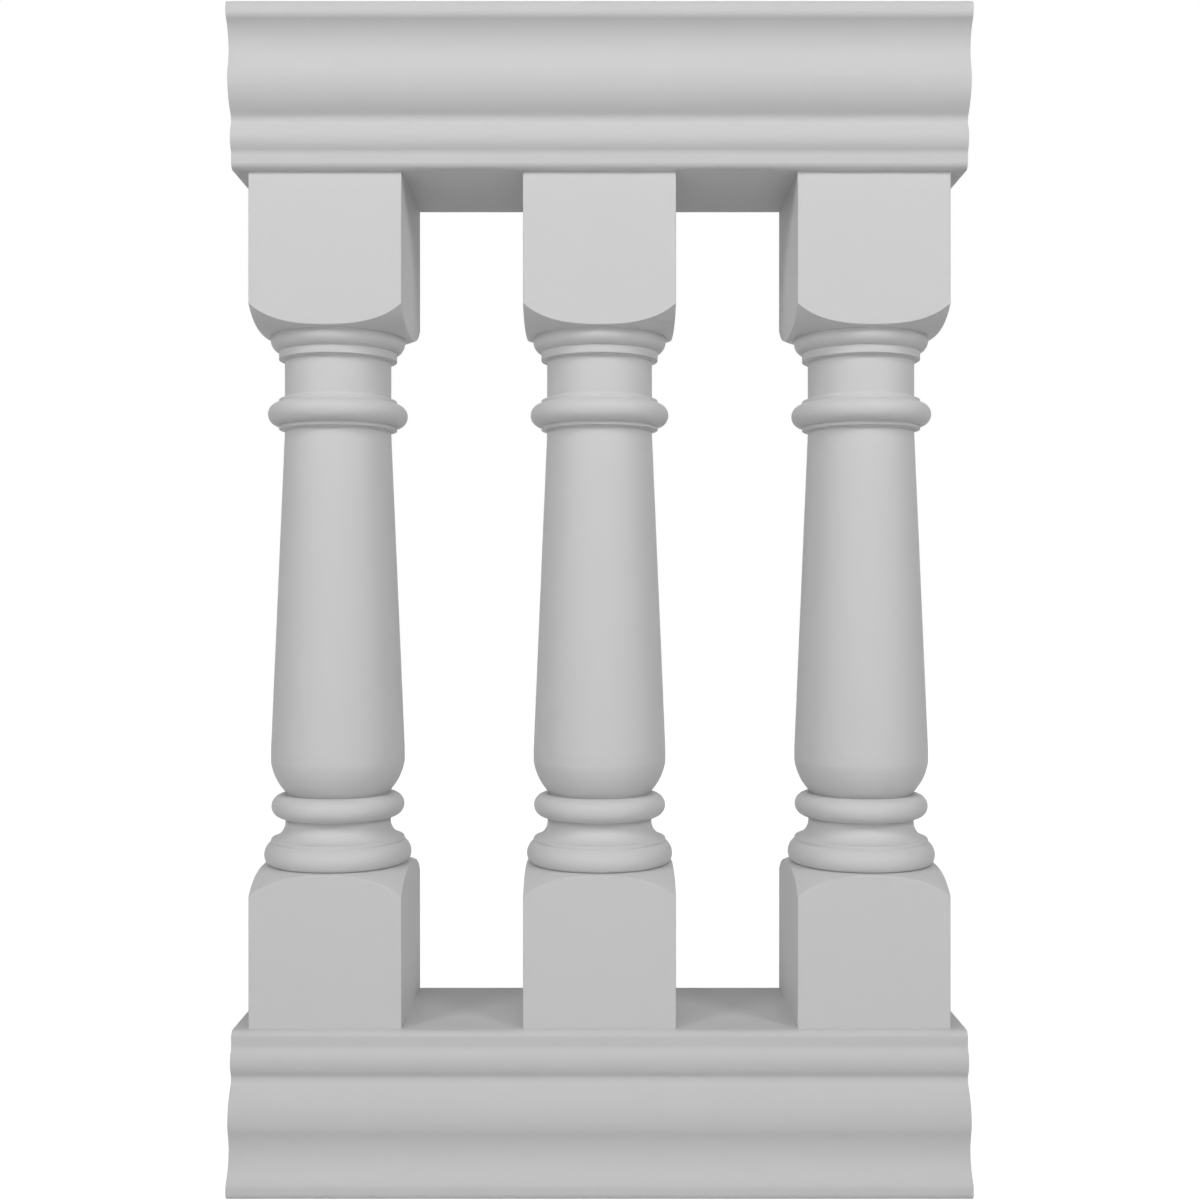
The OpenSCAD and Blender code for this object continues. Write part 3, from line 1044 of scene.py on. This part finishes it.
        return np.concatenate([
            line((quirk_r, groove_top - self.quirk), (quirk_r, groove_top)),
            arc(under, self.under_r, math.degrees(start), 0),
            arc(base, self.base_torus_r, 0, math.degrees(end)),
            line((foot_r, base_top), (foot_r, fillet_top - lip), 1, hem),
            arc((foot_r - lip, fillet_top - lip), lip, 0, 90, 6),
            arc((waist_r + self.scotia_r, waist), self.scotia_r, 180 + math.degrees(reach), 180),
            line((waist_r, waist), (waist_r, torus[1] - torus_r * math.sin(meets_waist)), 1, hem),
            arc(torus, torus_r, -math.degrees(meets_waist), math.degrees(meets_apron)),
            arc(centre, apron_r, -math.degrees(turn), -self.apron_slope),
            line((foot_r, foot), (foot_r, foot + self.band), 3, hem),
        ])

    def neck_outline(self, shaft: float) -> np.ndarray:
        """Outline of the tapering shaft, the ring, the neck and the ovolo, to the upper block's shoulder.

        A torus is its circle from where it leaves a fillet's face, at the arc cosine of how far that face
        lies from its centre over its radius.

        Args:
            shaft: level at which the shaft starts to taper.

        Returns:
            Array of (n, 2): radius and level.
        """
        neck_r, cove = self.neck_r, self.fillet_cove
        out_r = neck_r + self.fillet_out
        fillet = self.height - self.block - self.neck_fillet
        ring_top = fillet - self.neck
        ring_low = ring_top - self.ring
        ring = (neck_r + self.ring_out - self.ring_torus_r, ring_top - self.ring / 2)
        half_ring = math.degrees(math.acos((out_r - ring[0]) / self.ring_torus_r))
        collar = neck_r + self.ovolo_out
        ovolo = (collar - self.ovolo_r, self.height - self.block - self.ovolo_drop)
        under = math.degrees(math.acos((out_r - ovolo[0]) / self.ovolo_r))
        shoulder = self.height - self.shoulder_point(collar)[1]
        hem, short_hem = 0.7, 0.4
        return np.concatenate([
            line((self.foot_r, shaft), (neck_r, ring_low - cove), 28, hem),
            self.fillet_side(ring_low, 1),
            arc(ring, self.ring_torus_r, -half_ring, half_ring),
            self.fillet_side(ring_top, -1),
            line((neck_r, ring_top + cove), (neck_r, fillet - cove), 4, hem),
            self.fillet_side(fillet, 1),
            arc(ovolo, self.ovolo_r, -under, 0),
            line((collar, ovolo[1]), (collar, shoulder), 1, short_hem),
        ])

    def block_rows(self, angles: np.ndarray, last: float) -> tuple[np.ndarray, np.ndarray]:
        """Radius and level over a block, from its foot to the end of its shoulder, in every direction.

        Up the face the radius is the square's reach. The edge is a small arc that touches the face and the
        shoulder's circle, its centre that arc's radius in from both. Over the shoulder the point follows
        the circle from there to its end, so the rows run along the curved edge and not across it.

        Args:
            angles: directions round the axis, in radians.
            last: angle at which the shoulder ends, in degrees.

        Returns:
            Two arrays of (rows, directions).
        """
        reach = square_reach(angles, self.width / 2, self.corner)
        x, z = self.shoulder_centre()
        edge_x = reach - self.arris
        edge_z = z + np.sqrt((self.shoulder_r - self.arris) ** 2 - (edge_x - x) ** 2)
        turn = np.arctan2(edge_z - z, edge_x - x)
        # Shares of the way up the face, round the edge and over the shoulder, closer near the edge
        up = np.concatenate((np.linspace(0, 0.9, 7), [0.96, 0.985, 0.995]))[:, None]
        bend = np.linspace(0, 1, 6)[:, None]
        over = np.concatenate(([0.01, 0.03, 0.08], np.linspace(0.16, 0.98, 11), [1.0]))[:, None]
        angle = turn + (math.radians(last) - turn) * over
        radius = np.concatenate([
            np.broadcast_to(reach, (len(up), len(reach))),
            edge_x + self.arris * np.cos(turn * bend),
            x + self.shoulder_r * np.cos(angle),
        ])
        level = np.concatenate([
            edge_z * up,
            edge_z + self.arris * np.sin(turn * bend),
            z + self.shoulder_r * np.sin(angle),
        ])
        return radius, level

    def surface(self) -> Surface:
        """Block, turning and upper block as one closed sheet, with the upper block the lower turned over.

        Returns:
            The surface, standing on level 0 about the origin.
        """
        angles = square_angles(self.width / 2, self.corner, steps=44, corner_steps=6, hem=0.6)
        foot_end, top_end = self.shoulder_ends()
        low_radius, low_level = self.block_rows(angles, foot_end)
        top_radius, top_level = self.block_rows(angles, top_end)
        foot = self.foot_outline()
        middle = without_repeats(np.concatenate((foot, self.neck_outline(foot[-1, 1]))))[1:-1]
        even = np.ones(len(angles))
        radius = np.concatenate((low_radius, middle[:, :1] * even, top_radius[::-1]))
        level = np.concatenate((low_level, middle[:, 1:] * even, self.height - top_level[::-1]))
        return Surface.turned(angles, radius, level, loop_rows=False)


# ---------------------------------------------------------------- hardware


def mirrored_ring(angles: np.ndarray, radius: np.ndarray, level: np.ndarray, height: float) -> Surface:
    """A ring about the axis whose upper half mirrors the lower one.

    Args:
        angles: directions round the axis, in radians.
        radius: radius of each row of the lower half in every direction, from the hole outwards.
        level: level of each, up from the ring's lower face.
        height: height of the ring.

    Returns:
        The surface, standing on level 0 about the origin.
    """
    radius = np.concatenate((radius, radius[::-1]))
    level = np.concatenate((level, height - level[::-1]))
    return Surface.turned(angles, radius, level, loop_rows=True)


@dataclass
class TieRod:
    """A steel rod with a coarse thread rolled on both ends.

    Attributes:
        diameter: outer diameter.
        low: level of the lower end.
        high: level of the upper end.
        pitch: distance from thread to thread.
        threaded: length of thread at each end.
        thread_depth: depth of the thread, as a share of the pitch.
        crest: width of the crest's flat, as a share of the pitch.
        flank: width of both flanks together, as the same share.
        cone: how much less the radius is at the tips.
    """

    diameter: float
    low: float
    high: float
    pitch: float = 1.5875
    threaded: float = 32.0
    thread_depth: float = 0.6
    crest: float = 0.12
    flank: float = 0.7
    cone: float = 1.1

    def surface(self) -> Surface:
        """A rod whose radius dips along a helix.

        The radius is the outer one less the thread's depth times a triangle wave of (level / pitch - turn),
        with its crest and root cut flat. The depth fades out over the last pitch, and the tips are coned.

        Returns:
            The surface, on the Z axis.
        """
        steps, rows_per_turn = 32, 10
        rows = int(rows_per_turn * self.threaded / self.pitch) + 1
        lower = np.linspace(self.low, self.low + self.threaded, rows)
        upper = np.linspace(self.high - self.threaded, self.high, rows)
        level = np.concatenate((lower, upper))[:, None]
        turn = np.arange(steps) / steps
        wave = np.abs(2 * np.mod(level / self.pitch - turn, 1) - 1)
        groove = np.clip((wave - self.crest) / self.flank, 0, 1)
        from_end = np.minimum(level - self.low, self.high - level)
        fade = np.clip((self.threaded - from_end) / self.pitch, 0, 1)
        radius = self.diameter / 2 - self.thread_depth * self.pitch * groove * fade
        radius = np.minimum(radius, self.diameter / 2 - self.cone + from_end)
        return Surface.turned(2 * math.pi * turn, radius, level, loop_rows=False)


@dataclass
class HexNut:
    """A hexagon nut, chamfered on both faces.

    Attributes:
        flats: width across the flats.
        height: height of the nut.
        bore: diameter of its hole.
        face: diameter of the flat faces, as a share of the width across the flats.
        sink: depth of the hole's countersink.
        chamfer: slope of the chamfers, in degrees.
    """

    flats: float
    height: float
    bore: float
    face: float = 0.97
    sink: float = 0.7
    chamfer: float = 30.0

    def surface(self) -> Surface:
        """A ring whose outside is a hexagon cut by two cones.

        The cones rise at the chamfer's slope from a circle a little smaller than the flats, so each flat
        ends in a curved edge that dips at the corners. The hole is countersunk.

        Returns:
            The surface, standing on level 0 about the origin.
        """
        steps = 72
        angles = 2 * math.pi * np.arange(steps) / steps
        reach = hexagon_reach(angles, self.flats)
        face_r, bore_r, even = self.flats / 2 * self.face, self.bore / 2, np.ones(len(angles))
        drop = (reach - face_r) * math.tan(math.radians(self.chamfer))
        radius = np.stack((even * bore_r, even * (bore_r + self.sink), even * face_r, reach))
        level = np.stack((even * self.sink, even * 0, even * 0, drop))
        return mirrored_ring(angles, radius, level, self.height)


@dataclass
class BearingPlate:
    """A square steel plate with a punched hole.

    Attributes:
        side: side of the square.
        thickness: thickness of the plate.
        bore: diameter of the hole.
        corner: rounding of its corners.
        arris: rounding of its edges.
    """

    side: float
    thickness: float
    bore: float
    corner: float = 3.0
    arris: float = 0.6

    def surface(self) -> Surface:
        """A ring between the hole's circle and the square's reach, its edges eased by quarter circles.

        Returns:
            The surface, standing on level 0 about the origin.
        """
        angles = square_angles(self.side / 2, self.corner, steps=16, corner_steps=6, hem=1.0)
        reach = square_reach(angles, self.side / 2, self.corner)
        ease = np.radians([0, 30, 60, 90])[:, None]
        set_back, level = self.arris * (1 - np.cos(ease)), self.arris * (1 - np.sin(ease))
        radius = np.concatenate((self.bore / 2 + set_back + 0 * reach, reach - set_back[::-1]))
        level = np.concatenate((level, level[::-1])) + 0 * reach
        return mirrored_ring(angles, radius, level, self.thickness)


# ---------------------------------------------------------------- assembly


@dataclass
class Balustrade:
    """The section: two rails, three balusters and the hardware that clamps them.

    Attributes:
        skin: outer finish of the balusters.
        rails_painted_shade: outer finish of the rails, the gelcoat darkened as painted shade.
        raw: inner finish of the laminate.
        sawn: finish of its cut ends.
        metal: finish of the hardware.
        plate_play: how much wider the plates' holes are than the rods.
        nut_grip: how much narrower the nuts' holes are than the rods, whose thread runs in them.
    """

    skin: bpy.types.Material = field(default_factory=lambda: MattGelcoat().material())
    # The rails' finish is the balusters' gelcoat darkened by painted shade
    rails_painted_shade: bpy.types.Material = field(default_factory=SHADE_DARKENED_GELCOAT.material)
    raw: bpy.types.Material = field(default_factory=lambda: RawLaminate().material())
    sawn: bpy.types.Material = field(default_factory=lambda: SawnLaminate().material())
    metal: bpy.types.Material = field(default_factory=lambda: ZincPlate().material())
    plate_play: float = 1.5
    nut_grip: float = 0.4

    def build(self) -> None:
        """Builds and installs every piece."""
        self.build_rails()
        for place in Place:
            self.build_baluster(place)
            self.build_hardware(place)

    def build_rails(self) -> None:
        """Builds the top rail, and the bottom rail as the same section turned over."""
        for end in End:
            node = f"{end.value}_rail"
            low, high = box_mm(node)
            section = MouldedRail.from_frame(node, "baluster_middle").surface()
            level = low[2] if end is End.TOP else high[2]
            rail = section.moved((0, 0, level), turned_over=end is End.BOTTOM)
            # The rails' outside takes the gelcoat darkened by painted shade
            piece = rail.build(f"{node}_moulding", [self.rails_painted_shade, self.sawn, self.raw])
            install(piece, Slot.GELCOAT, node, f"{node}_closure")

    def build_baluster(self, place: Place) -> None:
        """Builds one baluster where its CAD node stands.

        Args:
            place: which baluster.
        """
        node = f"baluster_{place.value}"
        low, high = box_mm(node)
        made = TurnedBaluster.from_frame(node).surface()
        standing = made.moved(((low[0] + high[0]) / 2, (low[1] + high[1]) / 2, low[2]))
        install(standing.build(f"{node}_turned", [self.skin]), Slot.GELCOAT, node)

    def build_hardware(self, place: Place) -> None:
        """Builds the rod of one baluster with its plates and nuts.

        Args:
            place: which baluster.
        """
        rod_node = f"tie_rod_{place.value}"
        low, high = box_mm(rod_node)
        x, diameter = (low[0] + high[0]) / 2, high[0] - low[0]
        rod = TieRod(diameter, low[2], high[2]).surface().moved((x, 0, 0))
        install(rod.build(f"{rod_node}_threaded", [self.metal], THREAD_CREASE), Slot.ZINC, rod_node)
        for end in End:
            node = f"{end.value}_plate_{place.value}"
            low, high = box_mm(node)
            plate = BearingPlate(high[1] - low[1], high[2] - low[2], diameter + self.plate_play).surface()
            piece = plate.moved((x, 0, low[2])).build(f"{node}_punched", [self.metal])
            install(piece, Slot.ZINC, node)
            node = f"{end.value}_nut_{place.value}"
            low, high = box_mm(node)
            nut = HexNut(high[1] - low[1], high[2] - low[2], diameter - self.nut_grip).surface()
            piece = nut.moved((x, 0, low[2])).build(f"{node}_chamfered", [self.metal], NUT_CREASE)
            install(piece, Slot.ZINC, node)


# ---------------------------------------------------------------- studio


@dataclass
class Studio:
    """Pale floor, soft light from the front and a camera square to the balustrade.

    Attributes:
        distance: camera to the middle plane of the balusters, in metres.
        lens: focal length in millimetres, on a 36 mm sensor.
        aside: camera to the right of the section's middle, in metres.
        ambient: strength of the light that comes from everywhere.
        floor_half: half the width of the floor, in metres.
        glow: strength of the floor's glow near the section and far from it.
        glow_reach: distances from the section between which it rises, in metres.
    """

    distance: float = 1.2795
    lens: float = 44.016
    aside: float = 0.0004
    ambient: float = 0.044
    floor_half: float = 6.0
    glow: tuple[float, float] = (0.91, 1.0)
    glow_reach: tuple[float, float] = (0.7, 2.0)

    def build(self) -> None:
        """Sets up the colour management, the camera, the floor, the backdrop and the lamps."""
        bpy.context.scene.view_settings.view_transform = "Standard"
        self.add_camera()
        self.add_floor()
        self.add_surround()
        self.add_lamp("key_softbox", (0.0, -2.2, 2.75), (2.0, 0.6), 20.5)
        self.add_lamp("fill_softbox", (0.0, -3.2, 1.3), (2.4, 0.8), 14.6)
        # The lamps behind leave no sheen, so that only what faces them shows that they are there
        low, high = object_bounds()
        self.add_lamp("back_softbox", (0.0, 12.0, (low[2] + high[2]) / 2), (1.2, 0.6), 200.0, sheen=False)
        for side, way in (("left", -1), ("right", 1)):
            self.add_lamp(f"{side}_softbox", (2.0 * way, -2.2, 2.2), (0.8, 0.9), 32.5)
            self.add_lamp(f"{side}_back_softbox", (2.2 * way, 3.2, 1.2), (0.8, 0.9), 8.3, sheen=False)
        LOG.info("studio: camera, floor, surround and lamps")

    def add_camera(self) -> None:
        """Stands the camera in front of the section at half its height, looking level along +Y."""
        low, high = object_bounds()
        data = bpy.data.cameras.new("camera")
        data.lens = self.lens
        data.sensor_width = 36.0
        camera = bpy.data.objects.new("camera", data)
        camera.location = (self.aside, -self.distance, (low[2] + high[2]) / 2)
        camera.rotation_euler = (math.radians(90), 0, 0)
        bpy.context.scene.collection.objects.link(camera)
        bpy.context.scene.camera = camera

    @staticmethod
    def seen_directly(tree: bpy.types.NodeTree) -> bpy.types.Node:
        """A factor that is 1 for rays from the camera, glossy reflections and what passes through glass.

        Args:
            tree: node tree that takes the nodes.

        Returns:
            The node that gives the factor.
        """
        path = add_node(tree, "LightPath").outputs
        either = {0: path["Is Camera Ray"], 1: path["Is Glossy Ray"]}
        seen = add_node(tree, "Math", either, operation="MAXIMUM")
        return add_node(tree, "Math", {0: seen, 1: path["Is Transmission Ray"]}, operation="MAXIMUM")

    def add_floor(self) -> None:
        """Lays a wide pale floor that shows white with the section's soft shadow on it."""
        half = self.floor_half
        corners = [(-half, -half, 0), (half, -half, 0), (half, half, 0), (-half, half, 0)]
        mesh = bpy.data.meshes.new("floor")
        mesh.from_pydata(corners, [], [(0, 1, 2, 3)])
        material, tree, place = new_material("pale_floor")
        bounce = add_node(tree, "BsdfDiffuse", {"Color": colour("#E6E6E6")})
        shadow = add_node(tree, "BsdfDiffuse", {"Color": colour("#A0A0A0")})
        # The glow makes up for the lamps' fall-off, so the floor stays as white out to the horizon
        far = add_node(tree, "VectorMath", {0: place}, operation="LENGTH")
        (near, wide), (weak, strong) = self.glow_reach, self.glow
        rise = {"Value": far, "From Min": near, "From Max": wide, "To Min": weak, "To Max": strong}
        strength = add_node(tree, "MapRange", rise)
        glow = add_node(tree, "Emission", {"Color": colour("#FFFFFF"), "Strength": strength})
        shown = add_node(tree, "AddShader", {0: shadow, 1: glow})
        mixed = add_node(tree, "MixShader", {0: self.seen_directly(tree), 1: bounce, 2: shown})
        add_node(tree, "OutputMaterial", {"Surface": mixed})
        mesh.materials.append(material)
        floor = bpy.data.objects.new("floor", mesh)
        bpy.context.scene.collection.objects.link(floor)
        floor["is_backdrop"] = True

    def add_surround(self) -> None:
        """Makes the world white where it is seen and a dimmer even light where it only lights."""
        world = bpy.data.worlds.new("surround")
        bpy.context.scene.world = world
        world.use_nodes = True
        tree = world.node_tree
        tree.nodes.clear()
        lit = add_node(tree, "Background", {"Color": colour("#FFFFFF"), "Strength": self.ambient})
        seen = add_node(tree, "Background", {"Color": colour("#FFFFFF"), "Strength": 1.0})
        mixed = add_node(tree, "MixShader", {0: self.seen_directly(tree), 1: lit, 2: seen})
        add_node(tree, "OutputWorld", {"Surface": mixed})

    @staticmethod
    def add_lamp(
        name: str,
        place: tuple[float, float, float],
        size: tuple[float, float],
        watts: float,
        sheen: bool = True,
    ) -> None:
        """Hangs a soft rectangular lamp aimed at the middle of the section.

        Args:
            name: name of the lamp.
            place: where it hangs, in metres.
            size: its width and height, in metres.
            watts: its power.
            sheen: whether it is reflected in the gelcoat and the metal.
        """
        data = bpy.data.lights.new(name, "AREA")
        data.shape = "RECTANGLE"
        data.size, data.size_y = size
        data.energy = watts
        lamp = bpy.data.objects.new(name, data)
        low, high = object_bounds()
        lamp.location = place
        lamp.rotation_euler = ((low + high) / 2 - lamp.location).to_track_quat("-Z", "Y").to_euler()
        lamp.visible_glossy = sheen
        bpy.context.scene.collection.objects.link(lamp)


def main() -> None:
    """Builds the balustrade and the studio round it."""
    logging.basicConfig(level=logging.INFO, format="%(name)s: %(message)s")
    Balustrade().build()
    Studio().build()


if __name__ == "__main__":
    main()
